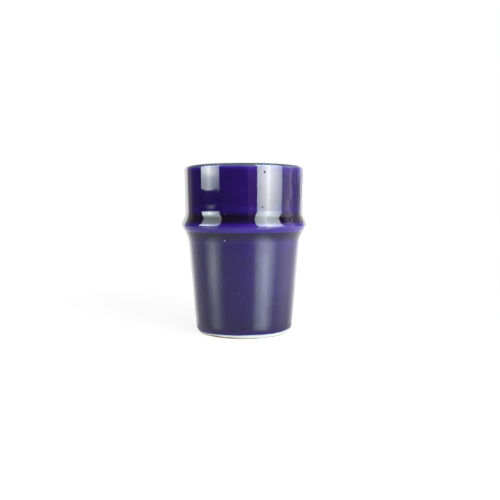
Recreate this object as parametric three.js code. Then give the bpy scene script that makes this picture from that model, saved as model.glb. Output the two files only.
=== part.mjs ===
// A small espresso cup without a handle: a clay body with a rib round it and three coats of blue glaze.
// Millimetres, +Z up. The origin is on the table, on the axis that every piece is turned about.
import * as THREE from 'three';

// Outside of the finished cup, glaze included. A rise is measured from the corner below it.
const FOOT_RADIUS = 20.93; // where the line of the tapering wall would meet the table
const SHOULDER_RADIUS = 24.97; // where the same line meets the underside of the rib
const SHOULDER_HEIGHT = 43;
const RIB_OVERHANG = 2.95; // from the shoulder out to the corner of the rib
const RIB_UNDERSIDE_RISE = 3.55;
const RIB_TOP_RISE = 5.25;
const COLLAR_RADIUS = 25.75; // at the bottom of the collar, where the top of the rib meets it
const COLLAR_RISE = 20.7;
const LIP_RADIUS = 26.15;

// Roundings of the outside.
const FOOT_ROUND_WIDTH = 1.93; // from the wall line in to where the foot touches the table
const FOOT_ROUND_HEIGHT = 4;
const UNDERSIDE_ROUND = 10;
const RIB_ROUND = 2.5;
const COVE_ROUND = 7;
const LIP_ROUND = 1.1;

// Inside and underneath.
const WALL = 3; // thickness of the finished wall, away from the rib
const FLOOR_HEIGHT = 5.5; // from the table up to the finished floor inside
const WAIST_ROUND = 25; // the easy bend inside, where the collar meets the tapering wall
const FLOOR_ROUND = 5;
const FOOT_RING_WIDTH = 3;
const RECESS_DEPTH = 1.2; // hollow under the foot, inside the ring
const RECESS_ROUND = 1;

// Glaze.
const GLAZE = 0.3;
const BARE_FOOT_HEIGHT = 1.6; // clay left bare between the table and the body glaze
const GLAZE_EDGE_WIDTH = 0.6; // the slope in which the body glaze runs out above the foot
const GLOSS_DROP = 2.15; // how far below the corner of the rib the gloss glaze ends

// Fineness of the facets.
const FACETS = 48;
const ARC_STEP = THREE.MathUtils.degToRad(18);
const FOOT_STEPS = 5;

// Heights that follow from the rises.
const ribHeight = SHOULDER_HEIGHT + RIB_UNDERSIDE_RISE;
const coveHeight = ribHeight + RIB_TOP_RISE;
const lipHeight = coveHeight + COLLAR_RISE;

// Radius of the finished wall, on its straight line, at a height above the table.
function wallRadius(height) {
  return THREE.MathUtils.lerp(FOOT_RADIUS, SHOULDER_RADIUS, height / SHOULDER_HEIGHT);
}

function corner(radius, height, round = 0) {
  return { at: new THREE.Vector2(radius, height), round };
}

// The bend at one corner of an outline: the directions to its neighbours, half the angle between them,
// and how far from the corner an arc of the wanted radius would start.
function bendAt(corners, index) {
  const here = corners[index];
  if (!here.round) {
    return { setback: 0 };
  }
  const back = corners[index - 1].at.clone().sub(here.at).normalize();
  const ahead = corners[index + 1].at.clone().sub(here.at).normalize();
  const half = back.angleTo(ahead) / 2;
  return { back, ahead, half, setback: here.round / Math.tan(half) };
}

// The arc at one corner, from its start to its end. It is scaled down where its walls are too short.
function arcPoints(here, bend, scale) {
  if (bend.setback === 0) {
    return [here.at.clone()];
  }
  const radius = here.round * scale;
  const turn = Math.PI - 2 * bend.half;
  const inward = bend.back.clone().add(bend.ahead).normalize();
  const centre = here.at.clone().addScaledVector(inward, radius / Math.sin(bend.half));
  const nearest = centre.clone().addScaledVector(inward, -radius);
  const side = Math.sign(bend.back.cross(bend.ahead));
  const steps = Math.ceil(turn / ARC_STEP);
  const points = [];
  for (let step = 0; step <= steps; step += 1) {
    const angle = side * turn * (0.5 - step / steps);
    points.push(nearest.clone().rotateAround(centre, angle));
  }
  return points;
}

// Straight lines through the corners, with an arc at each corner that has a rounding.
function roundedOutline(corners) {
  const bends = corners.map((here, index) => bendAt(corners, index));
  const scales = corners.map(() => 1);
  for (let index = 1; index < corners.length; index += 1) {
    const length = corners[index].at.distanceTo(corners[index - 1].at);
    const wanted = bends[index].setback + bends[index - 1].setback;
    const scale = wanted > length ? length / wanted : 1;
    scales[index - 1] = Math.min(scales[index - 1], scale);
    scales[index] = Math.min(scales[index], scale);
  }
  return corners.flatMap((here, index) => arcPoints(here, bends[index], scales[index]));
}

// The same rising line with a point exactly at the given height, added where it has none.
function withPointAt(points, height) {
  if (points.some((point) => point.y === height)) {
    return points;
  }
  const above = points.findIndex((point) => point.y > height);
  const below = points[above - 1];
  const share = (height - below.y) / (points[above].y - below.y);
  const added = below.clone().lerp(points[above], share).setY(height);
  return [...points.slice(0, above), added, ...points.slice(above)];
}

// The bare clay under the foot: the recess, then the ring that stands on the table.
function underside() {
  const ringOuter = FOOT_RADIUS - FOOT_ROUND_WIDTH;
  const ringInner = ringOuter - FOOT_RING_WIDTH;
  return roundedOutline([
    corner(0, RECESS_DEPTH),
    corner(ringInner - RECESS_DEPTH, RECESS_DEPTH, RECESS_ROUND),
    corner(ringInner, 0),
    corner(ringOuter, 0),
  ]);
}

// The crown of the lip, where the coats of the inside and the outside meet.
const crownRadius = LIP_RADIUS - WALL / 2;
const clayTop = lipHeight - GLAZE;

// The outside of the clay, from just above the table to the crown of the lip, set back by the glaze.
function outsideOfClay() {
  const footStart = new THREE.Vector2(FOOT_RADIUS - FOOT_ROUND_WIDTH, 0);
  const footCorner = new THREE.Vector2(FOOT_RADIUS - GLAZE, 0);
  const footEnd = new THREE.Vector2(wallRadius(FOOT_ROUND_HEIGHT) - GLAZE, FOOT_ROUND_HEIGHT);
  const foot = new THREE.QuadraticBezierCurve(footStart, footCorner, footEnd).getPoints(FOOT_STEPS);
  const wall = roundedOutline([
    corner(footEnd.x, footEnd.y),
    corner(SHOULDER_RADIUS - GLAZE, SHOULDER_HEIGHT, UNDERSIDE_ROUND),
    corner(SHOULDER_RADIUS + RIB_OVERHANG - GLAZE, ribHeight, RIB_ROUND),
    corner(COLLAR_RADIUS - GLAZE, coveHeight, COVE_ROUND),
    corner(LIP_RADIUS - GLAZE, clayTop, LIP_ROUND),
    corner(crownRadius, clayTop),
  ]);
  return [...foot.slice(1), ...wall.slice(1)];
}

// The inside of the clay, from the crown of the lip to the middle of the floor, set back by the glaze.
function insideOfClay() {
  const clayFloor = FLOOR_HEIGHT - GLAZE;
  const inset = WALL - GLAZE;
  return roundedOutline([
    corner(crownRadius, clayTop),
    corner(LIP_RADIUS - inset, clayTop, LIP_ROUND),
    corner(COLLAR_RADIUS - inset, coveHeight, WAIST_ROUND),
    corner(wallRadius(FLOOR_HEIGHT) - inset, clayFloor, FLOOR_ROUND),
    corner(0, clayFloor),
  ]);
}

// The clay's surface with points where the coats begin and end.
const bareEdge = BARE_FOOT_HEIGHT;
const fullGlaze = BARE_FOOT_HEIGHT + GLAZE_EDGE_WIDTH;
const glossEdge = ribHeight - GLOSS_DROP;
const outside = [bareEdge, fullGlaze, glossEdge].reduce(withPointAt, outsideOfClay());
const inside = insideOfClay();

// A unit vector out of the clay at each point of its surface, which runs with the clay on its left.
function outwardAt(points, index) {
  const before = points[Math.max(index - 1, 0)];
  const after = points[Math.min(index + 1, points.length - 1)];
  const along = after.clone().sub(before).normalize();
  return new THREE.Vector2(along.y, -along.x);
}

// The outer face of a coat of even thickness over the clay's surface. A point on the axis stays on it.
function glazedFace(points) {
  return points.map((point, index) => {
    const face = point.clone().addScaledVector(outwardAt(points, index), GLAZE);
    face.x = point.x === 0 ? 0 : face.x;
    return face;
  });
}

const outsideGlazed = glazedFace(outside);
const insideGlazed = glazedFace(inside);

function turned(name, profile, material) {
  const geometry = new THREE.LatheGeometry(profile, FACETS);
  geometry.rotateX(Math.PI / 2);
  const mesh = new THREE.Mesh(geometry, material);
  mesh.name = name;
  return mesh;
}

// Place in the outside line of the point at a height where a coat begins or ends.
function placeAt(height) {
  return outside.findIndex((point) => point.y === height);
}

// The fired clay itself, bare under the foot and round its edge.
function clayBody() {
  const material = new THREE.MeshStandardMaterial({ color: 0xe8e3d8, roughness: 0.9, metalness: 0 });
  return turned('clay_body', [...underside(), ...outside, ...inside.slice(1)], material);
}

// Gloss coat over the whole inside, up to the crown of the lip.
function linerGlaze() {
  const material = new THREE.MeshStandardMaterial({ color: 0x2a1a82, roughness: 0.12, metalness: 0 });
  return turned('liner_glaze', [...inside].reverse().concat(insideGlazed), material);
}

// Gloss coat from the crown of the lip, down the collar and over the rib.
function collarGlaze() {
  const material = new THREE.MeshStandardMaterial({ color: 0x2a1a82, roughness: 0.12, metalness: 0 });
  const start = placeAt(glossEdge);
  const clayFace = outside.slice(start).reverse();
  const profile = [...clayFace, ...outsideGlazed.slice(start), clayFace[0]];
  return turned('collar_glaze', profile, material);
}

// Satin coat from under the rib to just above the foot, where it slopes away to nothing.
function bodyGlaze() {
  const material = new THREE.MeshStandardMaterial({ color: 0x40366f, roughness: 0.45, metalness: 0 });
  const start = placeAt(bareEdge);
  const end = placeAt(glossEdge) + 1;
  const clayFace = outside.slice(start, end).reverse();
  const profile = [...clayFace, ...outsideGlazed.slice(placeAt(fullGlaze), end), clayFace[0]];
  return turned('body_glaze', profile, material);
}

const cup = new THREE.Group();
cup.add(clayBody(), linerGlaze(), collarGlaze(), bodyGlaze());

export default cup;
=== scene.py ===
"""The espresso cup as it looks: fired clay under gloss and satin coats of cobalt glaze, in a white studio."""
import math

import bpy
import numpy as np
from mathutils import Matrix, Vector, noise


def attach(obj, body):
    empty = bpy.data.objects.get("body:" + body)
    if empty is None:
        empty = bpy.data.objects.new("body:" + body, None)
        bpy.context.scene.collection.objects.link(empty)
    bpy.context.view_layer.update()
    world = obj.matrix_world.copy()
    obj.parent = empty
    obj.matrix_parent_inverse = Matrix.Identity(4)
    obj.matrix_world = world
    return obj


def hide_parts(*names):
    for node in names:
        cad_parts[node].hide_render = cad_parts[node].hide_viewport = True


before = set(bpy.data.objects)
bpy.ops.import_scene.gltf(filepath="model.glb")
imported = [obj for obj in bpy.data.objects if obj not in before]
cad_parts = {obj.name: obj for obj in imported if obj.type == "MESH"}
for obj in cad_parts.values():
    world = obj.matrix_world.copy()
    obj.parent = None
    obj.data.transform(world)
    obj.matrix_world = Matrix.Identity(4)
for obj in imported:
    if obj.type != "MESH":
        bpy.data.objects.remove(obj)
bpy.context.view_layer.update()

MM = 0.001

# Form in millimetres, glaze included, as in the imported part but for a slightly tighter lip.
GLAZE = 0.3
FOOT_RADIUS = 20.93
SHOULDER_RADIUS = 24.97
SHOULDER_HEIGHT = 43.0
RIB_RADIUS = 27.92
RIB_HEIGHT = 46.55
COLLAR_RADIUS = 25.75
COLLAR_HEIGHT = 51.8
LIP_RADIUS = 26.15
LIP_HEIGHT = 72.5
RING_OUTER = 19.0
RING_INNER = 16.0
FOOT_ROUND_HEIGHT = 4.0
UNDERSIDE_ROUND = 10.0
RIB_ROUND = 2.5
COVE_ROUND = 7.0
LIP_ROUND = 1.0
WALL = 3.0
FLOOR_HEIGHT = 5.5
WAIST_ROUND = 25.0
FLOOR_ROUND = 5.0
RECESS_DEPTH = 1.2
RECESS_ROUND = 1.0

# Where the coats of the outside end.
GLOSS_EDGE = 44.5
GLOSS_EDGE_WAVE = 0.07
GLOSS_EDGE_WAVES = ((3, 0.8, 1.0), (7, 0.0, 0.6))  # count round the cup, start in radians, share
FOOT_EDGE = (  # turn from the front in degrees, height
    (-180, 1.40), (-110, 1.00), (-70, 0.92), (-51, 1.12), (-38, 1.40), (-28, 1.53), (-18, 1.62),
    (-9, 1.62), (0, 1.77), (10, 1.80), (17, 1.79), (24, 1.73), (32, 1.71), (40, 1.73), (50, 1.85),
    (60, 1.98), (90, 1.95), (180, 1.40),
)
FOOT_EDGE_WAVE = 0.05
FOOT_EDGE_WAVE_LENGTH = 2.4

# Unevenness of a cup thrown and dipped by hand.
OVAL = 0.10
OVAL_TURN = math.radians(80)
SWELL = 0.012
SWELL_LENGTH = 22.0
RIPPLE = 0.020
RIPPLE_LENGTH = 4.5
COLLAR_SEED = 3.0
BODY_SEED = 11.0
LINER_SEED = 23.0
FOOT_SEED = 31.0
RIPPLE_SEED = 40.0  # added to a coat's own seed

# Fineness of the meshes.
AROUND = 288
ARC_STEPS = 24
FINE = 0.05
COAT_ROW = 0.4
LINER_ROW = 0.6
FOOT_ROW = 0.35
HIDDEN_ROW = 1.2
EDGE_ROWS = (0.0, 0.06, 0.13, 0.21, 0.30, 0.42, 0.56)
SHARP_ANGLE = math.radians(40)
SINK = 0.04  # how far the hidden side of a coat lies in the clay

# Depth of the glaze by height: 0 is a breaking edge, 1 a dark pool.
LIP_DEPTH = (
    (69.3, 0.50), (70.05, 0.45), (70.5, 0.40), (70.9, 0.27), (71.3, 0.14), (71.7, 0.05), (72.6, 0.02),
)
GLOSS_DEPTH = (
    (44.3, 0.36), (46.3, 0.37), (46.8, 0.40), (47.1, 0.36), (47.45, 0.31), (47.85, 0.39), (48.25, 0.53),
    (48.6, 0.74), (49.0, 0.83), (49.5, 0.88), (50.2, 0.91), (51.0, 0.90), (51.75, 0.81), (52.2, 0.69),
    (52.65, 0.58), (53.4, 0.50), (54.5, 0.51), (55.2, 0.56), (55.8, 0.60), (58.2, 0.60), (61.4, 0.56),
    (64.5, 0.55), (67.3, 0.53), *LIP_DEPTH,
)
# The satin coat is darkest just under the rib, from about 41 mm up to its edge.
SATIN_DEPTH = (
    (1.0, 0.50), (2.25, 0.54), (2.7, 0.58), (3.1, 0.65), (4.9, 0.75), (7.4, 0.70), (12.4, 0.66),
    (19.0, 0.62), (25.8, 0.59), (32.3, 0.60), (37.3, 0.55), (39.75, 0.51), (41.3, 0.64), (42.2, 0.74),
    (43.0, 0.80), (43.8, 0.83), (44.6, 0.83),
)
# The floor of the inside takes a lighter blue than the wall: painted light against the shade deep in the cup.
LINER_DEPTH = (
    (5.0, 0.34), (6.0, 0.46), (8.5, 0.50), (12.0, 0.48), (45.0, 0.52), (66.0, 0.53), *LIP_DEPTH,
)
# Painted shade: the glaze is made deeper, and so darker, towards the left, the side turned from the key
# light.
LEFT_SHADE_DEPTH = 0.06
LEFT_SHADE_SIDE = (0.03, -0.22)  # sine of the turn where the darker left side begins and where it is full
LEFT_SHADE_BY_DEPTH = (0.25, 0.45)  # a thin edge keeps its depth, and a full coat takes it all
FOOT_FADE = 0.6
FOOT_FADE_START = 0.1

# Relief of the coats and of the clay under the foot.
POOL_START = 0.6
POOL_LIFT = 0.08
BEAD_WIDTH = 0.8
GROOVE = 0.05
SETTLE_AT_CROWN = 2.0
SETTLE_AT_FLOOR = 4.0
TURNING_PITCH = 2.1
TURNING_DEPTH = 0.12
TURNED_TO = 14.0

TURNS = np.linspace(0, 2 * math.pi, AROUND, endpoint=False)  # from the front, towards +X


def unit(vector):
    """The same direction with a length of 1."""
    return vector / np.linalg.norm(vector)


def arc(before, corner, after, radius):
    """Points of the arc that rounds a corner, from one straight line to the next."""
    if radius == 0:
        return [corner]
    back = unit(before - corner)
    ahead = unit(after - corner)
    half = math.acos(np.dot(back, ahead)) / 2
    centre = corner + unit(back + ahead) * radius / math.sin(half)
    start = corner + back * radius / math.tan(half) - centre
    end = corner + ahead * radius / math.tan(half) - centre
    turn = math.pi - 2 * half
    points = []
    for share in np.linspace(0, 1, ARC_STEPS):
        swung = math.sin((1 - share) * turn) * start + math.sin(share * turn) * end
        points.append(centre + swung / math.sin(turn))
    return points


def rounded(corners):
    """Straight lines through corners of radius, height and rounding, with an arc at each rounded corner."""
    places = [np.array(corner[:2], float) for corner in corners]
    points = [places[0]]
    for index in range(1, len(corners) - 1):
        points += arc(places[index - 1], places[index], places[index + 1], corners[index][2])
    return points + [places[-1]]


class Outline:
    """A line of the clay's surface in radius and height, with the clay on its left, by its length."""

    def __init__(self, points):
        points = np.array(points)
        steps = np.linalg.norm(np.diff(points, axis=0), axis=1)
        lengths = np.concatenate([[0], np.cumsum(steps)])
        self.lengths = np.linspace(0, lengths[-1], int(lengths[-1] / FINE))
        self.radius = np.interp(self.lengths, lengths, points[:, 0])
        self.height = np.interp(self.lengths, lengths, points[:, 1])
        along = np.stack([np.gradient(self.radius), np.gradient(self.height)])
        along = along / np.linalg.norm(along, axis=0)
        self.out_radius = along[1]
        self.out_height = -along[0]

    def value(self, lengths, name):
        """One of the line's values at lengths along it."""
        return np.interp(lengths, self.lengths, getattr(self, name))

    def face(self, lengths, lift):
        """Radius and height of points that stand off the line by lift."""
        radius = self.value(lengths, "radius") + lift * self.value(lengths, "out_radius")
        height = self.value(lengths, "height") + lift * self.value(lengths, "out_height")
        return radius, height

    def length_at(self, height):
        """Length along a rising line to where it first reaches a height."""
        return np.interp(height, np.maximum.accumulate(self.height), self.lengths)


def wall_radius(height):
    """Radius of the finished tapering wall at a height."""
    return FOOT_RADIUS + (SHOULDER_RADIUS - FOOT_RADIUS) * height / SHOULDER_HEIGHT


def collar_radius(height):
    """Radius of the finished collar at a height."""
    share = (height - COLLAR_HEIGHT) / (LIP_HEIGHT - COLLAR_HEIGHT)
    return COLLAR_RADIUS + (LIP_RADIUS - COLLAR_RADIUS) * share


CROWN_RADIUS = LIP_RADIUS - WALL / 2
CLAY_TOP = LIP_HEIGHT - GLAZE


def underside_points():
    """Under the foot: the recess, then the ring that stands on the table."""
    return rounded([
        (0, RECESS_DEPTH, 0),
        (RING_INNER - RECESS_DEPTH, RECESS_DEPTH, RECESS_ROUND),
        (RING_INNER, 0, 0),
        (RING_OUTER, 0, 0),
    ])


def outside_points():
    """Outside of the clay, from the table to the crown of the lip."""
    start = np.array([RING_OUTER, 0])
    corner = np.array([FOOT_RADIUS - GLAZE, 0])
    end = np.array([wall_radius(FOOT_ROUND_HEIGHT) - GLAZE, FOOT_ROUND_HEIGHT])
    shares = np.linspace(0, 1, ARC_STEPS)
    foot = [(1 - s) ** 2 * start + 2 * s * (1 - s) * corner + s ** 2 * end for s in shares]
    wall = rounded([
        (end[0], end[1], 0),
        (SHOULDER_RADIUS - GLAZE, SHOULDER_HEIGHT, UNDERSIDE_ROUND),
        (RIB_RADIUS - GLAZE, RIB_HEIGHT, RIB_ROUND),
        (COLLAR_RADIUS - GLAZE, COLLAR_HEIGHT, COVE_ROUND),
        (LIP_RADIUS - GLAZE, CLAY_TOP, LIP_ROUND),
        (CROWN_RADIUS, CLAY_TOP, 0),
    ])
    return foot + wall[1:]


def inside_points():
    """Inside of the clay, from the crown of the lip to the middle of the floor."""
    inset = WALL - GLAZE
    return rounded([
        (CROWN_RADIUS, CLAY_TOP, 0),
        (LIP_RADIUS - inset, CLAY_TOP, LIP_ROUND),
        (COLLAR_RADIUS - inset, COLLAR_HEIGHT, WAIST_ROUND),
        (wall_radius(FLOOR_HEIGHT) - inset, FLOOR_HEIGHT - GLAZE, FLOOR_ROUND),
        (0, FLOOR_HEIGHT - GLAZE, 0),
    ])


outside = Outline(outside_points())
inside = Outline(inside_points())
whole_clay = Outline(underside_points() + outside_points()[1:] + inside_points()[1:])


def swells(lengths, turns, wave, seed):
    """Smooth random values between -1 and 1 over the wall, with swells about a wave apart."""
    across = LIP_RADIUS / wave
    places = np.stack([across * np.sin(turns), across * np.cos(turns) + seed, lengths / wave], axis=-1)
    values = [noise.noise(Vector(place)) for place in places.reshape(-1, 3)]
    return np.array(values).reshape(lengths.shape)


def placed(radius, height):
    """Points in metres for rows of radius and height round the axis, a little out of round."""
    squeeze = OVAL * (1 - np.cos(2 * (TURNS - OVAL_TURN))) / 2
    radius = radius * (1 - squeeze / LIP_RADIUS)
    return np.stack([radius * np.sin(TURNS), -radius * np.cos(TURNS), height], axis=-1) * MM


def spread(values):
    """One value for each row, repeated over the columns."""
    return np.repeat(np.asarray(values, float)[:, None], AROUND, axis=1)


def depth_from(table, heights):
    """Depth of the glaze at each height."""
    known, depths = zip(*table)
    return np.interp(heights, known, depths)


def rise(values, start, full):
    """From 0 at the start to 1 where it is full, in a straight line."""
    return np.clip((values - start) / (full - start), 0, 1)


def coat_shares(length, row):
    """Places of a coat's rows between its two edges, from 0 to 1, closer together near the edges."""
    edge = np.array(EDGE_ROWS)
    count = int((length - 2 * edge[-1]) / row)
    middle = np.linspace(edge[-1], length - edge[-1], count)
    return np.concatenate([edge, middle[1:-1], length - edge[::-1]]) / length


def coat_lift(depth, lengths, seed):
    """Thickness of a coat: even, with pools, slow swells and a fine ripple."""
    turns = np.broadcast_to(TURNS, lengths.shape)
    pools = POOL_LIFT * np.clip(depth - POOL_START, 0, None)
    slow = SWELL * (swells(lengths, turns, SWELL_LENGTH, seed) - 1) / 2
    fine = RIPPLE * (swells(lengths, turns, RIPPLE_LENGTH, seed + RIPPLE_SEED) - 1) / 2
    return GLAZE + pools + slow + fine


def faces_between(first, second, first_count, second_count):
    """Faces between two neighbouring rows, either of which may be a single point on the axis."""
    here = np.arange(AROUND)
    beyond = np.roll(here, -1)
    if first_count == 1 and second_count == 1:
        return []
    if first_count == 1:
        return np.stack([np.full(AROUND, first), second + beyond, second + here], axis=1).tolist()
    if second_count == 1:
        return np.stack([first + here, first + beyond, np.full(AROUND, second)], axis=1).tolist()
    return np.stack([first + here, first + beyond, second + beyond, second + here], axis=1).tolist()


def piece_from(name, rows, depths, closed):
    """A closed mesh from rows of points round the axis, with the glaze's depth kept at each point."""
    counts = [len(row) for row in rows]
    starts = np.concatenate([[0], np.cumsum(counts)])
    faces = []
    for index in range(len(rows) - 1):
        faces += faces_between(starts[index], starts[index + 1], counts[index], counts[index + 1])
    if closed:
        faces += faces_between(starts[len(rows) - 1], 0, counts[-1], counts[0])
    mesh = bpy.data.meshes.new(name)
    mesh.from_pydata(np.concatenate(rows).tolist(), [], faces)
    mesh.shade_smooth()
    mesh.set_sharp_from_angle(angle=SHARP_ANGLE)
    attribute = mesh.attributes.new("glaze_depth", "FLOAT", "POINT")
    attribute.data.foreach_set("value", np.concatenate(depths).astype(np.float32))
    piece = bpy.data.objects.new(name, mesh)
    bpy.context.collection.objects.link(piece)
    return piece


def hidden_rows(outline, start, end):
    """Rows of the side of a coat that lies on the clay, from the end of the coat back to its start."""
    count = int(np.mean(end - start) / HIDDEN_ROW)
    shares = np.linspace(1, 0, count)[:, None]
    lengths = start + shares * (end - start)
    return list(placed(*outline.face(lengths, -SINK)))


def edge_thinning(away, width):
    """From 0 at the very edge of a coat to 1 where it has its full body, as a rounded bead."""
    share = np.clip(away / width, 0, 1)
    return np.sqrt(1 - (1 - share) ** 2)


def ring_coat(name, start, end, table, lift_shape, depth_shape, seed):
    """A coat of the outside between two edges, given as lengths along the clay for every column."""
    shares = coat_shares(np.mean(end - start), COAT_ROW)[:, None]
    lengths = start + shares * (end - start)
    heights = outside.value(lengths, "height") + GLAZE * outside.value(lengths, "out_height")
    depth = depth_from(table, heights)
    # Deeper, darker glaze towards the left: painted shade on the side turned from the key light.
    left = rise(np.sin(TURNS), *LEFT_SHADE_SIDE) * rise(depth, *LEFT_SHADE_BY_DEPTH)
    depth = depth_shape(depth + LEFT_SHADE_DEPTH * left, lengths - start, end - lengths)
    lift = lift_shape(coat_lift(depth, lengths, seed), lengths - start, end - lengths)
    shown = list(placed(*outside.face(lengths, lift)))
    hidden = hidden_rows(outside, start, end)
    depths = list(depth) + [depth[-1]] * len(hidden)
    return piece_from(name, shown + hidden, depths, closed=True)


def gloss_edge():
    """Length along the clay to the edge between the gloss and the satin coat, for every column."""
    waves = [share * np.sin(count * TURNS + start) for count, start, share in GLOSS_EDGE_WAVES]
    return outside.length_at(GLOSS_EDGE + GLOSS_EDGE_WAVE * sum(waves))


def foot_edge():
    """Length along the clay to the lower edge of the satin coat, which hangs lower at the left."""
    turns, heights = zip(*FOOT_EDGE)
    height = np.interp(np.degrees(TURNS), turns, heights, period=360)
    wave = FOOT_EDGE_WAVE * swells(np.zeros(AROUND), TURNS, FOOT_EDGE_WAVE_LENGTH, FOOT_SEED)
    return outside.length_at(height + wave)


def collar_glaze():
    """Gloss coat from under the rib, over the collar, to the crown of the lip."""
    crown = np.full(AROUND, outside.lengths[-1])

    def lift_shape(lift, above_edge, below_crown):
        settled = GLAZE + (lift - GLAZE) * rise(below_crown, 0, SETTLE_AT_CROWN)
        return settled - GROOVE * (1 - edge_thinning(above_edge, BEAD_WIDTH))

    def depth_shape(depth, above_edge, below_crown):
        return depth

    edges = (gloss_edge(), crown)
    return ring_coat("collar_glaze_gloss", *edges, GLOSS_DEPTH, lift_shape, depth_shape, COLLAR_SEED)


def body_glaze():
    """Satin coat from under the rib down to the bare foot, where it ends in a thin uneven line."""

    def lift_shape(lift, above_foot, below_gloss):
        body = lift * edge_thinning(above_foot, BEAD_WIDTH)
        return body - GROOVE * (1 - edge_thinning(below_gloss, BEAD_WIDTH))

    def depth_shape(depth, above_foot, below_gloss):
        return depth * np.clip(FOOT_FADE_START + above_foot / FOOT_FADE, 0, 1)

    edges = (foot_edge(), gloss_edge())
    return ring_coat("body_glaze_satin", *edges, SATIN_DEPTH, lift_shape, depth_shape, BODY_SEED)


def liner_glaze():
    """Gloss coat of the inside, from the crown of the lip to the middle of the floor."""
    end = inside.lengths[-1]
    lengths = spread(np.linspace(0, end, int(end / LINER_ROW)))[:-1]
    heights = inside.value(lengths, "height") + GLAZE * inside.value(lengths, "out_height")
    depth = depth_from(LINER_DEPTH, heights)
    settle = rise(lengths, 0, SETTLE_AT_CROWN) * rise(end - lengths, 0, SETTLE_AT_FLOOR)
    lift = GLAZE + (coat_lift(depth, lengths, LINER_SEED) - GLAZE) * settle
    middle = np.array([[0, 0, FLOOR_HEIGHT * MM]])
    under_middle = np.array([[0, 0, (FLOOR_HEIGHT - GLAZE - SINK) * MM]])
    start = np.zeros(AROUND)
    hidden = hidden_rows(inside, start, start + end)[1:]
    rows = list(placed(*inside.face(lengths, lift))) + [middle, under_middle] + hidden
    depths = list(depth) + [depth[-1][:1], depth[-1][:1]] + [depth[0]] * len(hidden)
    return piece_from("liner_glaze_gloss", rows, depths, closed=True)


def clay_body():
    """The fired clay in one closed form, fine where it shows at the foot and plainer under the glaze."""
    covered_from = RING_OUTER + 2 * FOOT_ROUND_HEIGHT
    shown = np.arange(FOOT_ROW, covered_from, FOOT_ROW)
    hidden = np.arange(shown[-1] + HIDDEN_ROW, whole_clay.lengths[-1] - HIDDEN_ROW / 2, HIDDEN_ROW)
    lengths = spread(np.concatenate([shown, hidden]))
    bottom = np.array([[0, 0, RECESS_DEPTH * MM]])
    floor = np.array([[0, 0, (FLOOR_HEIGHT - GLAZE) * MM]])
    turned = rise(TURNED_TO - lengths, 0, TURNING_PITCH) * rise(lengths, 0, TURNING_PITCH)
    marks = -TURNING_DEPTH * turned * (1 - np.cos(2 * math.pi * lengths / TURNING_PITCH + TURNS)) / 2
    rows = [bottom] + list(placed(*whole_clay.face(lengths, marks))) + [floor]
    depths = [np.zeros(len(row)) for row in rows]
    return piece_from("clay_body_fired", rows, depths, closed=False)


def linear(red, green, blue):
    """A colour given in sRGB values from 0 to 255, as the linear values that a shader takes."""
    shares = [value / 255 for value in (red, green, blue)]
    bent = [s / 12.92 if s <= 0.04045 else ((s + 0.055) / 1.055) ** 2.4 for s in shares]
    return (*bent, 1.0)


# Larger pinholes of the gloss coat and pale specks of the satin coat: turn from the front, height, radius.
PINHOLES = (
    (18.4, 68.8, 0.62), (16.6, 54.6, 0.52), (14.6, 62.1, 0.24), (-151.0, 60.2, 0.5), (118.0, 66.4, 0.4),
)
SPECKS = (
    (-18.6, 41.2, 0.35), (-5.4, 19.4, 0.19), (-1.2, 18.1, 0.18), (7.1, 30.9, 0.17), (-36.5, 28.3, 0.16),
    (36.0, 14.5, 0.16), (-12.5, 34.6, 0.14), (98.0, 33.0, 0.25), (167.0, 24.0, 0.3), (-128.0, 38.5, 0.25),
)

# Colours of the cobalt glaze, from where it breaks thin over an edge to where it lies deepest.
BREAKING = linear(98, 108, 118)
THIN = linear(88, 98, 150)
BRIGHT = linear(60, 28, 150)
COBALT = linear(34, 14, 94)
POOLED = linear(17, 9, 34)
SPECK = linear(150, 165, 205)
GLAZE_RAMP = ((0.02, BREAKING), (0.14, THIN), (0.30, BRIGHT), (0.56, COBALT), (0.95, POOLED))
CLAY_WHITE = linear(226, 230, 227)
CLAY_WASHED = linear(210, 225, 228)
CLAY_TAN = linear(122, 102, 60)

# Patterns of the coats and the clay. Their sizes, spacings and heights are in millimetres, and a pair is the
# least and the most, or where a change begins and where it is full.
NOISE_SPAN = (0.3, 0.7)  # most values of a noise lie between these
MOTTLE_SPAN = (0.25, 0.75)
MOTTLE_SIZE = 6.0
MOTTLE = (-0.05, 0.05)
PINHOLE_SPACING = 5.6
PINHOLE_RADIUS = 0.32
PINHOLE_SINK = 0.05
PINHOLE_ROUGHNESS = 0.6
PEEL_SIZE = 2.2
PEEL_HEIGHT = 0.0012
GLOSS_IOR = 1.52
GLOSS_ROUGHNESS = (0.02, 0.035)
GLOSS_ROUGHNESS_SIZE = 9.0
SPECK_SPACING = 3.0
SPECK_RADIUS = 0.2
SPECK_STRENGTH = 0.6
GRAIN_SIZE = 0.9
GRAIN_HEIGHT = 0.032
SATIN_IOR = 1.5
SATIN_ROUGHNESS = (0.165, 0.205)
SATIN_ROUGHNESS_SIZE = 3.0
TAN_SHADE_SIDE = (5 * MM, -14 * MM)  # the tan band of the foot, the clay's warm tone with painted contact shadow, reaches higher towards the left
TAN_SHADE_TOP = (0.70 * MM, 1.0 * MM)
TAN_SHADE_FADE = 0.4 * MM
TAN_SHADE_WAVE = (-0.15 * MM, 0.2 * MM)
TAN_SHADE_WAVE_SIZE = 7.0
DARKER_SIDE = (14 * MM, -10 * MM)  # and is darker there, painted shade on the side away from the key light
TAN_SHADE_STRENGTH = (0.5, 0.95)
RING_SHARE = (0.3, 1.0)  # of tan band and wash at the inner and the outer edge of the foot ring
WASH_HEIGHT = (1.0 * MM, 1.6 * MM)
PORE_SPACING = 1.6
PORE_RADIUS = 0.12
PORE_STRENGTH = 0.5
RING_SCALE = 320.0
RING_DISTORTION = 1.5
RING_HEIGHT = 0.03
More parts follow.
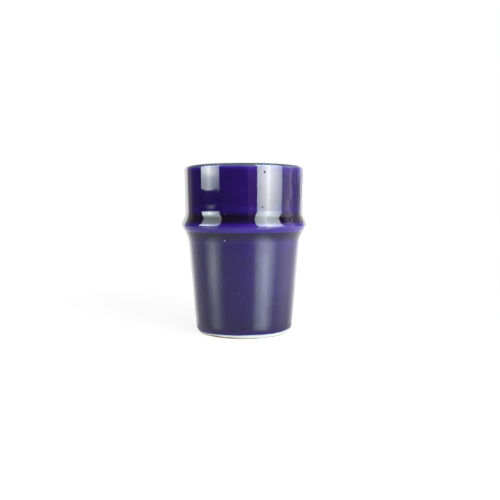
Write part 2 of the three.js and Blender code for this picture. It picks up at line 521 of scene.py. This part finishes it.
CLAY_GRAIN_SIZE = 0.25
CLAY_GRAIN_HEIGHT = 0.02
CLAY_IOR = 1.45
CLAY_ROUGHNESS = 0.85
DOT_CORE = 0.6  # share of a dot's radius that is full
SPOT_CORE = 0.5


class Nodes:
    """Short ways to add nodes to a tree, with the coordinates that its patterns follow."""

    def __init__(self, tree, coordinates):
        self.tree = tree
        self.place = self.node("TexCoord").outputs[coordinates]

    def node(self, kind, inputs=None, **settings):
        """A new node of a kind, with its settings made and its inputs fed."""
        node = self.tree.nodes.new("ShaderNode" + kind)
        for key, value in settings.items():
            setattr(node, key, value)
        for key, value in (inputs or {}).items():
            self.feed(node.inputs[key], value)
        return node

    def feed(self, socket, value):
        """Links a socket to another one, or gives it a fixed value."""
        if isinstance(value, bpy.types.NodeSocket):
            self.tree.links.new(value, socket)
        else:
            socket.default_value = value

    def math(self, operation, first, second=0.0, clamp=False):
        """The result of a sum, a product or the like."""
        return self.node("Math", {0: first, 1: second}, operation=operation, use_clamp=clamp).outputs[0]

    def between(self, value, low, high, to_low=0.0, to_high=1.0):
        """A smooth step from one result at or past low to another at or past high."""
        inputs = {"Value": value, "From Min": low, "From Max": high, "To Min": to_low, "To Max": to_high}
        return self.node("MapRange", inputs, interpolation_type="SMOOTHSTEP").outputs[0]

    def noise(self, size, detail=2.0):
        """Noise from 0 to 1 with features about size millimetres across."""
        inputs = {"Vector": self.place, "Scale": 1 / (size * MM), "Detail": detail}
        return self.node("TexNoise", inputs).outputs[0]

    def dots(self, spacing, radius):
        """1 inside scattered round dots of a radius, 0 elsewhere; both sizes in millimetres."""
        inputs = {"Vector": self.place, "Scale": 1 / (spacing * MM)}
        distance = self.node("TexVoronoi", inputs).outputs["Distance"]
        return self.between(distance, radius / spacing, DOT_CORE * radius / spacing)

    def from_axis(self):
        """Distance from the axis of the cup."""
        flat = self.node("VectorMath", {0: self.place, 1: (1, 1, 0)}, operation="MULTIPLY").outputs[0]
        return self.node("VectorMath", {0: flat}, operation="LENGTH").outputs["Value"]

    def spots(self, radius_at, places):
        """1 inside round spots given by turn, height and radius, on a wall with a radius at each height."""
        covered = 0.0
        for turn, height, radius in places:
            across = radius_at(height)
            angle = math.radians(turn)
            centre = (across * math.sin(angle) * MM, -across * math.cos(angle) * MM, height * MM)
            apart = self.node("VectorMath", {0: self.place, 1: centre}, operation="DISTANCE")
            spot = self.between(apart.outputs["Value"], radius * MM, SPOT_CORE * radius * MM)
            covered = self.math("MAXIMUM", covered, spot)
        return covered

    def ramp(self, value, stops):
        """A colour by a value, with stops of a position and a colour."""
        node = self.node("ValToRGB", {"Fac": value})
        elements = node.color_ramp.elements
        while len(elements) < len(stops):
            elements.new(1.0)
        for element, (position, colour) in zip(elements, stops):
            element.position = position
            element.color = colour
        return node.outputs["Color"]

    def mix(self, share, first, second, blend="MIX"):
        """A mix of two colours. A Mix node takes them at its sockets 6 and 7 and gives the result at 2."""
        inputs = {"Factor": share, 6: first, 7: second}
        return self.node("Mix", inputs, data_type="RGBA", blend_type=blend).outputs[2]

    def bump(self, height, distance, under=None):
        """Normals bent by a height from 0 to 1 that stands for a distance in millimetres."""
        inputs = {"Height": height, "Distance": distance * MM, "Strength": 1.0}
        if under is not None:
            inputs["Normal"] = under
        return self.node("Bump", inputs).outputs[0]


class Shader(Nodes):
    """The node tree of one new material, with a Principled shader at its end."""

    def __init__(self, name):
        self.material = bpy.data.materials.new(name)
        self.material.use_nodes = True
        super().__init__(self.material.node_tree, "Object")
        self.principled = self.tree.nodes["Principled BSDF"]

    def set(self, **inputs):
        """Feeds inputs of the Principled shader, with a low line for each space in their names."""
        for key, value in inputs.items():
            self.feed(self.principled.inputs[key.replace("_", " ")], value)

    def end_with(self, node):
        """Lets another node than the Principled shader make the surface."""
        self.feed(self.tree.nodes["Material Output"].inputs["Surface"], node.outputs[0])


def glaze_colour(shader):
    """Cobalt colour that follows the depth of the glaze, mottled as a fired glaze is."""
    depth = shader.node("Attribute", attribute_name="glaze_depth").outputs["Fac"]
    mottle = shader.between(shader.noise(MOTTLE_SIZE, detail=4.0), *MOTTLE_SPAN, *MOTTLE)
    return shader.ramp(shader.math("ADD", depth, mottle), GLAZE_RAMP)


def gloss_material():
    """Gloss cobalt glaze: smooth, with a faint orange peel and a few pinholes."""
    shader = Shader("gloss_cobalt_glaze")
    placed_ones = shader.spots(collar_radius, PINHOLES)
    pinholes = shader.math("MAXIMUM", shader.dots(PINHOLE_SPACING, PINHOLE_RADIUS), placed_ones)
    # The pinholes take the dark pool colour: painted shade in the holes.
    colour = shader.mix(pinholes, glaze_colour(shader), POOLED)
    peel = shader.bump(shader.noise(PEEL_SIZE, detail=1.0), PEEL_HEIGHT)
    sunk = shader.bump(pinholes, -PINHOLE_SINK, peel)
    smooth = shader.between(shader.noise(GLOSS_ROUGHNESS_SIZE), *NOISE_SPAN, *GLOSS_ROUGHNESS)
    roughness = shader.math("ADD", smooth, shader.math("MULTIPLY", pinholes, PINHOLE_ROUGHNESS))
    shader.set(Base_Color=colour, Normal=sunk, Roughness=roughness, IOR=GLOSS_IOR)
    return shader.material


def satin_material():
    """Satin cobalt glaze: the same colour under a fine grain, with pale specks."""
    shader = Shader("satin_cobalt_glaze")
    specks = shader.math("MULTIPLY", shader.dots(SPECK_SPACING, SPECK_RADIUS), SPECK_STRENGTH)
    mottled = shader.mix(specks, glaze_colour(shader), THIN)
    colour = shader.mix(shader.spots(wall_radius, SPECKS), mottled, SPECK)
    grain = shader.bump(shader.noise(GRAIN_SIZE, detail=3.0), GRAIN_HEIGHT)
    uneven = shader.noise(SATIN_ROUGHNESS_SIZE, detail=4.0)
    roughness = shader.between(uneven, *NOISE_SPAN, *SATIN_ROUGHNESS)
    shader.set(Base_Color=colour, Normal=grain, Roughness=roughness, IOR=SATIN_IOR)
    return shader.material


def foot_colour(shader):
    """Off-white clay, with a bluish wash below the coat and a tan band where it stands on the table: warm
    clay with painted contact shadow.
    """
    place = shader.node("SeparateXYZ", {0: shader.place}).outputs
    uneven = shader.between(shader.noise(TAN_SHADE_WAVE_SIZE, detail=3.0), *NOISE_SPAN, *TAN_SHADE_WAVE)
    # Painted contact shadow: a tan band at the lower edge of the foot, higher and darker towards the left,
    # away from the key light.
    tan_shade_top = shader.between(place["X"], *TAN_SHADE_SIDE, *TAN_SHADE_TOP)
    full_tan_shade = shader.math("SUBTRACT", tan_shade_top, TAN_SHADE_FADE)
    low_down = shader.between(shader.math("ADD", place["Z"], uneven), tan_shade_top, full_tan_shade)
    to_left = shader.between(place["X"], *DARKER_SIDE, *TAN_SHADE_STRENGTH)
    outer = shader.between(shader.from_axis(), RING_INNER * MM, RING_OUTER * MM, *RING_SHARE)
    washed = shader.math("MULTIPLY", shader.between(place["Z"], *WASH_HEIGHT), outer)
    tan_and_shade = shader.math("MULTIPLY", shader.math("MULTIPLY", low_down, to_left), outer)
    return shader.mix(tan_and_shade, shader.mix(washed, CLAY_WHITE, CLAY_WASHED), CLAY_TAN)


def clay_material():
    """Bare fired clay: matt, with tan pores, a fine grain and turning marks underneath."""
    shader = Shader("fired_clay")
    pores = shader.math("MULTIPLY", shader.dots(PORE_SPACING, PORE_RADIUS), PORE_STRENGTH)
    colour = shader.mix(pores, foot_colour(shader), CLAY_TAN)
    pattern = {"Vector": shader.place, "Scale": RING_SCALE, "Distortion": RING_DISTORTION}
    rings = shader.node("TexWave", pattern, wave_type="RINGS", rings_direction="Z").outputs["Fac"]
    grain = shader.bump(shader.noise(CLAY_GRAIN_SIZE, detail=3.0), CLAY_GRAIN_HEIGHT)
    marks = shader.bump(rings, RING_HEIGHT, grain)
    shader.set(Base_Color=colour, Normal=marks, Roughness=CLAY_ROUGHNESS, IOR=CLAY_IOR)
    return shader.material


def dress(piece, node, material):
    """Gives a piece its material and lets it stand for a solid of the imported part."""
    piece.data.materials.append(material)
    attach(piece, "root")
    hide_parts(node)


gloss = gloss_material()
dress(clay_body(), "clay_body", clay_material())
dress(liner_glaze(), "liner_glaze", gloss)
dress(collar_glaze(), "collar_glaze", gloss)
dress(body_glaze(), "body_glaze", satin_material())


# The studio: a white table, two soft boxes that only the gloss shows, a soft key light and a bright backdrop.
# Lengths are in metres, and a brightness of 1 is that of white paper.
WHITE = (1, 1, 1, 1)
NO_TINT = (1.0, 1.0, 1.0)
BRIGHTEST = 3.0  # what a share of 1 in a ramp of light stands for

# The table. Four values are two places and what holds at each of them.
TABLE_LEFT = -0.5
TABLE_RIGHT = 0.9
TABLE_FRONT = -0.20
TABLE_BACK = 1.5
TABLE_WHITE = (0.42, 0.42, 0.42, 1)
TABLE_SHADING = (0.30, 0.30, 0.30, 1)
TABLE_GLOW = (0.25, 1.0, 0.835, 0.92)
TABLE_SHEEN = 0.10
TABLE_IOR = 2.1
GLOW_TO_RIGHT = (0.0, 0.15, 0.56, 1.30)
GLOW_TO_BACK = (0.0, 0.15, 0.0, 0.5)
BACK_GLOW_SHARE = (0.10, -0.02, 0.2, 1.0)
GLOW_FOR_COLOURS = (0.0, -0.05, 0.15, 0.30)
DULL_AT_FOOT = (34 * MM, 27 * MM)

# A soft box: its turn from the front in degrees, the form of its face, its level, the spill beside its near
# side and how much that side flares. A pattern of its light: where the hot spot lies, how fast the light
# falls to the left and right of it, how far its core stands out, what is left far from it, where its foot is
# unlit, and shares by height.
BOX_DISTANCE = 0.5
ALL_LIT = (0.0, 0.001)
RIGHT_BOX = {
    "turn": 49.5, "width": 0.478, "bottom": 0.002, "top": 0.66, "lean": 0.0, "tilt": 0.0,
    "level": 18.8, "spill": 0.215, "flare": 0.017,
}
RIGHT_IN_GLOSS = {
    "hot": -0.036, "slopes": (2.5, 2.5), "high_slopes": (1.75, 1.75),
    "core": 0.14, "high_core": 0.12, "least": 0.0, "unlit": ALL_LIT,
    "upright": (
        (0.002, 0.85), (0.030, 0.68), (0.076, 1.0), (0.15, 1.02), (0.20, 1.02), (0.235, 1.0),
        (0.29, 0.94), (0.36, 0.77), (0.42, 0.62), (0.66, 0.50),
    ),
}
RIGHT_IN_TABLE = {
    "hot": -0.036, "slopes": (2.5, 4.6), "high_slopes": (2.5, 4.6),
    "core": 0.30, "high_core": 0.30, "least": 0.0, "unlit": ALL_LIT,
    "upright": (
        (0.002, 0.35), (0.05, 0.5), (0.066, 0.75), (0.076, 1.05), (0.084, 0.95), (0.092, 0.92), (0.104, 1.45),
        (0.120, 1.5), (0.130, 1.38), (0.138, 0.95), (0.144, 0.66), (0.152, 0.50), (0.161, 0.52), (0.175, 1.0),
        (0.19, 0.90), (0.205, 1.1), (0.26, 1.15), (0.32, 0.75), (0.385, 0.65), (0.45, 0.5), (0.56, 0.3),
    ),
}
LEFT_BOX = {
    "turn": -66.0, "width": 0.370, "bottom": 0.034, "top": 0.66, "lean": 0.064, "tilt": 0.044,
    "level": 17.0, "spill": 0.0, "flare": 0.0,
}
LEFT_IN_GLOSS = {
    "hot": -0.016, "slopes": (2.35, 3.3), "high_slopes": (2.0, -2.0),
    "core": 0.15, "high_core": 0.03, "least": 0.0, "unlit": (0.0632, 0.0639),
    "upright": (
        (0.034, 0.38), (0.060, 0.38), (0.069, 0.42), (0.0735, 0.50), (0.078, 0.66), (0.083, 0.85),
        (0.087, 0.95), (0.15, 0.80), (0.17, 0.95), (0.19, 1.05), (0.205, 0.98), (0.23, 0.70), (0.27, 0.48),
        (0.31, 0.35), (0.36, 0.24), (0.40, 0.17), (0.44, 0.14), (0.66, 0.12),
    ),
}
LEFT_IN_TABLE = {
    "hot": 0.008, "slopes": (5.2, 5.4), "high_slopes": (5.2, 5.4),
    "core": 0.15, "high_core": 0.15, "least": 0.13, "unlit": ALL_LIT,
    "upright": (
        (0.055, 0.25), (0.068, 0.55), (0.078, 0.92), (0.087, 1.02), (0.10, 1.0), (0.113, 0.45), (0.128, 0.29),
        (0.144, 0.17), (0.16, 0.31), (0.175, 0.66), (0.19, 0.50), (0.215, 0.38), (0.26, 0.36), (0.32, 0.22),
        (0.385, 0.15), (0.56, 0.1),
    ),
}
LEFT_GLEAM = {"across": 0.025, "height": 0.0418, "lean": 0.035, "wide": 0.165, "high": 0.0020, "share": 0.125}
CORE_WIDTH = 0.06
TINTED_UP_TO = (0.085, 0.105)
HIGHER_UP = (0.20, 0.35)
FLARED_FROM = (0.08, 0.28)
SPILL_SHARE = 0.028
UNLIT_SHARE = 0.018
SPILL_TINT = (1.0, 0.50, 1.1, 1)
LOW_TINT = (0.95, 1.0, 0.88, 1)
HIGH_TINT = (0.90, 1.0, 1.0, 1)
DIM_TINT = (0.97, 1.03, 1.24, 1)
DIMMED = (14.0, 4.5)
BOUNCED_DEPTH = 1.5  # a deeper ray has met the table before the box

# The key light.
KEY_LEVEL = 6.7
KEY_SIZE = 0.5
KEY_PLACE = (0.54, -0.69, 0.50)
KEY_AIM = (0, 0, 0.04)

# What stands round the cup, by the parts of a ray's direction.
AMBIENT = (0.42, 0.42, 0.42, 1)
LEFT_STUDIO = (
    (0.0, 0.09), (0.34, 0.12), (0.45, 0.21), (0.50, 0.33), (0.54, 0.48), (0.60, 0.58), (0.66, 0.62),
    (0.70, 0.72), (0.73, 1.5), (0.78, 2.2), (0.82, 2.4), (0.86, 1.95), (0.93, 1.42), (0.985, 1.14),
    (1.0, 1.02),
)
RIGHT_STUDIO = (
    (0.0, 1.4), (0.05, 1.6), (0.10, 2.1), (0.15, 2.4), (0.20, 1.9), (0.28, 1.0), (0.36, 0.55), (0.44, 0.4),
    (0.52, 0.5), (0.60, 0.62), (0.66, 0.66), (0.73, 0.82), (0.765, 1.3), (0.805, 2.1), (0.84, 2.3),
    (0.875, 1.95), (0.93, 1.42), (0.985, 1.14), (1.0, 1.02),
)
LEFT_TINT = (1.0, 0.84, 0.86)
RIGHT_TINT = (1.0, 0.90, 0.93)
TINT_UNTIL = 0.71
PALE_TINT = (1.0, 1.025, 0.96)
WAVE_SCALE = (6.0, 6.0, 30.0)
WAVE_SHIFT = (-0.13, 0.13)
WAVE_LIFT = 0.3
RIGHT_FROM_BACK = (-0.4, -0.1)
RIGHT_FROM_SIDE = (-0.1, 0.1)
RIGHT_UP_TO = (0.56, 0.40)
BACKDROP = (0.5, 0.85, 0.72, 1.0)


def light_stops(levels, tint=NO_TINT):
    """Stops of a ramp for levels up to the brightest, with a tint in its first part and a pale one after."""
    stops = []
    for place, level in levels:
        shares = tint if place < TINT_UNTIL else PALE_TINT
        stops.append((place, (*(level / BRIGHTEST * share for share in shares), 1)))
    return stops


def white_table():
    """A white table that ends below the camera; its sheen carries the soft boxes into the satin glaze."""
    front = [(TABLE_LEFT, TABLE_FRONT, 0), (TABLE_RIGHT, TABLE_FRONT, 0)]
    back = [(TABLE_RIGHT, TABLE_BACK, 0), (TABLE_LEFT, TABLE_BACK, 0)]
    mesh = bpy.data.meshes.new("table")
    mesh.from_pydata(front + back, [], [(0, 1, 2, 3)])
    top = bpy.data.objects.new("table", mesh)
    bpy.context.collection.objects.link(top)
    mesh.materials.append(table_material())


def table_glow(shader, rays):
    """Brightness of the table in the gloss, greater to the right and at the back, and a share for colours."""
    place = shader.node("SeparateXYZ", {0: shader.place}).outputs
    to_right = shader.between(place["X"], *GLOW_TO_RIGHT)
    at_back = shader.between(place["Y"], *GLOW_TO_BACK)
    to_back = shader.math("MULTIPLY", at_back, shader.between(place["X"], *BACK_GLOW_SHARE))
    at_left = shader.between(place["X"], *GLOW_FOR_COLOURS)
    for_colours = shader.math("MULTIPLY", rays["Is Diffuse Ray"], at_left)
    return shader.math("ADD", shader.math("ADD", to_right, to_back), for_colours)


def table_material():
    """White with the cup's shadow for the camera, a sheen for the gloss, and nothing from below."""
    shader = Shader("white_table")
    rays = shader.node("LightPath").outputs
    away = shader.from_axis()
    level = table_glow(shader, rays)
    shader.set(Base_Color=TABLE_WHITE, Roughness=TABLE_SHEEN, IOR=TABLE_IOR)
    shader.set(Emission_Color=WHITE, Emission_Strength=level)
    matt = shader.node("BsdfDiffuse", {"Color": TABLE_WHITE})
    matt_glow = shader.node("Emission", {"Strength": level})
    dull = shader.node("AddShader", {0: matt.outputs[0], 1: matt_glow.outputs[0]})
    at_foot = shader.between(away, *DULL_AT_FOOT)
    sheen = shader.node("MixShader", {0: at_foot, 1: shader.principled.outputs[0], 2: dull.outputs[0]})
    plain = shader.node("BsdfDiffuse", {"Color": TABLE_SHADING})
    glow = shader.node("Emission", {"Strength": shader.between(away, *TABLE_GLOW)})
    seen = shader.node("AddShader", {0: plain.outputs[0], 1: glow.outputs[0]})
    front = shader.node("MixShader", {0: rays["Is Camera Ray"], 1: sheen.outputs[0], 2: seen.outputs[0]})
    through = shader.node("BsdfTransparent")
    behind = shader.node("NewGeometry").outputs["Backfacing"]
    shader.end_with(shader.node("MixShader", {0: behind, 1: front.outputs[0], 2: through.outputs[0]}))
    return shader.material


def soft_box(name, box, in_gloss, in_table, gleam=None):
    """An upright panel of light beside the cup, seen in the gloss and left out of the even light."""
    angle = math.radians(box["turn"])
    near = -box["width"] / 2 - box["spill"]
    far = box["width"] / 2
    sides = ((near, "bottom"), (far, "bottom"), (far, "top"), (near, "top"))
    corners = [(across, 0, box[height] - box["lean"] * across) for across, height in sides]
    mesh = bpy.data.meshes.new(name)
    mesh.from_pydata(corners, [], [(0, 1, 2, 3)])
    panel = bpy.data.objects.new(name, mesh)
    panel.location = (BOX_DISTANCE * math.sin(angle), -BOX_DISTANCE * math.cos(angle), 0)
    panel.rotation_euler = (0, -box["tilt"], angle)
    bpy.context.collection.objects.link(panel)
    mesh.materials.append(soft_box_material(name, box, in_gloss, in_table, gleam))
    panel.visible_camera = False
    panel.visible_diffuse = False
    panel.visible_shadow = False


def hot_spot(shader, place, spot):
    """Share of the light by the place across the box: a tent with a core, with other slopes higher up."""
    aside = shader.math("SUBTRACT", place["X"], spot["hot"])
    slopes = zip(spot["slopes"], spot["high_slopes"])
    left, right = [shader.between(place["Z"], *HIGHER_UP, low, high) for low, high in slopes]
    to_left = shader.math("MULTIPLY", aside, shader.math("MULTIPLY", left, -1.0))
    to_right = shader.math("MULTIPLY", aside, right)
    fall = shader.math("MAXIMUM", to_left, to_right)
    tent = shader.math("MAXIMUM", shader.math("SUBTRACT", 1.0, fall), spot["least"])
    peak = shader.between(place["Z"], *HIGHER_UP, spot["core"], spot["high_core"])
    core = shader.between(shader.math("ABSOLUTE", aside), CORE_WIDTH, 0.0)
    return shader.math("ADD", tent, shader.math("MULTIPLY", core, peak))


def lit_face(shader, place, box):
    """1 on the lit face of a box, which flares a little higher up, and 0 on the spill beside it."""
    flare = shader.between(place["Z"], *FLARED_FROM, 0.0, box["flare"])
    return shader.math("GREATER_THAN", shader.math("ADD", place["X"], flare), -box["width"] / 2)


def box_light(shader, place, face, lean, spot):
    """Light of a box as one kind of surface shows it: a hot spot across, a profile upwards, a dim spill."""
    across = shader.math("MULTIPLY", face, hot_spot(shader, place, spot))
    level = shader.math("ADD", place["Z"], shader.math("MULTIPLY", place["X"], lean))
    upright = shader.ramp(level, light_stops(spot["upright"]))
    lit = shader.between(level, *spot["unlit"], UNLIT_SHARE, 1.0)
    spilled = shader.math("MAXIMUM", across, SPILL_SHARE)
    return shader.math("MULTIPLY", spilled, shader.math("MULTIPLY", upright, lit))


def gleam_light(shader, place, gleam):
    """A small dim lens low on a box."""
    across = shader.math("DIVIDE", shader.math("SUBTRACT", place["X"], gleam["across"]), gleam["wide"])
    height = shader.math("ADD", place["Z"], shader.math("MULTIPLY", place["X"], gleam["lean"]))
    upright = shader.math("DIVIDE", shader.math("SUBTRACT", height, gleam["height"]), gleam["high"])
    away = shader.node("CombineXYZ", {0: across, 1: upright}).outputs[0]
    distance = shader.node("VectorMath", {0: away}, operation="LENGTH").outputs["Value"]
    return shader.between(distance, 1.0, 0.0, 0.0, gleam["share"] / BRIGHTEST)


def face_tint(shader, place, strength, by_table):
    """Tint of a lit face by height, bluer low down where its light is dim and goes straight to the gloss."""
    by_height = shader.mix(shader.between(place["Z"], *TINTED_UP_TO), LOW_TINT, HIGH_TINT)
    near_table = shader.between(place["Z"], *HIGHER_UP, 1.0, 0.0)
    low_down = shader.math("SUBTRACT", near_table, by_table, clamp=True)
    dim = shader.math("MULTIPLY", shader.between(strength, *DIMMED), low_down)
    return shader.mix(dim, by_height, DIM_TINT, blend="MULTIPLY")


def soft_box_material(name, box, in_gloss, in_table, gleam):
    """Light with one pattern straight into the gloss and a narrower one by way of the table's sheen."""
    shader = Shader(name)
    place = shader.node("SeparateXYZ", {0: shader.place}).outputs
    face = lit_face(shader, place, box)
    straight = box_light(shader, place, face, box["lean"], in_gloss)
    if gleam:
        straight = shader.math("ADD", straight, gleam_light(shader, place, gleam))
    bounced = box_light(shader, place, face, box["lean"], in_table)
    depth = shader.node("LightPath").outputs["Ray Depth"]
    by_table = shader.math("GREATER_THAN", depth, BOUNCED_DEPTH)
    change = shader.math("MULTIPLY", by_table, shader.math("SUBTRACT", bounced, straight))
    strength = shader.math("MULTIPLY", shader.math("ADD", straight, change), box["level"] * BRIGHTEST)
    tint = shader.mix(face, SPILL_TINT, face_tint(shader, place, strength, by_table))
    shader.end_with(shader.node("Emission", {"Color": tint, "Strength": strength}))
    return shader.material


def key_light():
    """The even light on the colours, from the front and a little to the right."""
    light = bpy.data.lights.new("key_light", "AREA")
    light.size = KEY_SIZE
    light.energy = KEY_LEVEL * math.pi * KEY_SIZE ** 2
    lamp = bpy.data.objects.new("key_light", light)
    lamp.location = KEY_PLACE
    lamp.rotation_euler = (Vector(KEY_AIM) - lamp.location).to_track_quat("-Z", "Y").to_euler()
    lamp.visible_camera = False
    lamp.visible_glossy = False
    bpy.context.collection.objects.link(lamp)


def studio_light(shader, direction):
    """What the gloss shows of the studio: darker towards the camera, with soft waves at the right."""
    stretched = shader.node("Mapping", {"Vector": shader.place, "Scale": WAVE_SCALE}).outputs[0]
    waves = shader.node("TexNoise", {"Vector": stretched, "Scale": 1.0, "Detail": 3.0}).outputs[0]
    shift = shader.between(waves, *NOISE_SPAN, *WAVE_SHIFT)
    wavering = shader.math("ADD", direction["Y"], shift)
    left = shader.ramp(direction["Y"], light_stops(LEFT_STUDIO, LEFT_TINT))
    right = shader.ramp(wavering, light_stops(RIGHT_STUDIO, RIGHT_TINT))
    ahead = shader.between(direction["Y"], *RIGHT_FROM_BACK)
    lifted = shader.math("MULTIPLY", shift, WAVE_LIFT)
    raised = shader.math("ADD", shader.math("ABSOLUTE", direction["Z"]), lifted)
    level = shader.between(raised, *RIGHT_UP_TO)
    to_right = shader.between(direction["X"], *RIGHT_FROM_SIDE)
    share = shader.math("MULTIPLY", shader.math("MULTIPLY", ahead, level), to_right)
    return shader.mix(share, left, right)


def surroundings():
    """White for the camera, an even light for the colours, and a studio with a backdrop for the gloss."""
    world = bpy.data.worlds.new("studio")
    bpy.context.scene.world = world
    world.use_nodes = True
    world.node_tree.nodes.clear()
    shader = Nodes(world.node_tree, "Generated")
    rays = shader.node("LightPath").outputs
    direction = shader.node("SeparateXYZ", {0: shader.place}).outputs
    around = shader.node("Background", {"Color": studio_light(shader, direction), "Strength": BRIGHTEST})
    even = shader.node("Background", {"Color": AMBIENT})
    backdrop = shader.between(direction["Y"], *BACKDROP)
    white = shader.node("Background", {"Color": WHITE, "Strength": backdrop})
    unseen = shader.node("MixShader", {0: rays["Is Glossy Ray"], 1: even.outputs[0], 2: around.outputs[0]})
    shown = shader.node("MixShader", {0: rays["Is Camera Ray"], 1: unseen.outputs[0], 2: white.outputs[0]})
    shader.node("OutputWorld", {"Surface": shown.outputs[0]})
    world.cycles.sampling_method = "NONE"


# The camera of the photograph: its place in metres, and how far it looks down and to the right in degrees.
CAMERA_PLACE = (0.0, -0.2708, 0.05338)
CAMERA_PITCH = 3.684
CAMERA_YAW = 0.557
LENS = 44.016
SENSOR = 36.0
CLIP_START = 0.01


def camera():
    """The view of the photograph."""
    data = bpy.data.cameras.new("camera")
    data.lens = LENS
    data.sensor_width = SENSOR
    data.clip_start = CLIP_START
    eye = bpy.data.objects.new("camera", data)
    eye.location = CAMERA_PLACE
    eye.rotation_euler = (math.radians(90 - CAMERA_PITCH), 0, math.radians(-CAMERA_YAW))
    bpy.context.collection.objects.link(eye)
    bpy.context.scene.camera = eye


white_table()
soft_box("right_soft_box", RIGHT_BOX, RIGHT_IN_GLOSS, RIGHT_IN_TABLE)
soft_box("left_soft_box", LEFT_BOX, LEFT_IN_GLOSS, LEFT_IN_TABLE, LEFT_GLEAM)
key_light()
surroundings()
camera()
bpy.context.scene.view_settings.view_transform = "Standard"
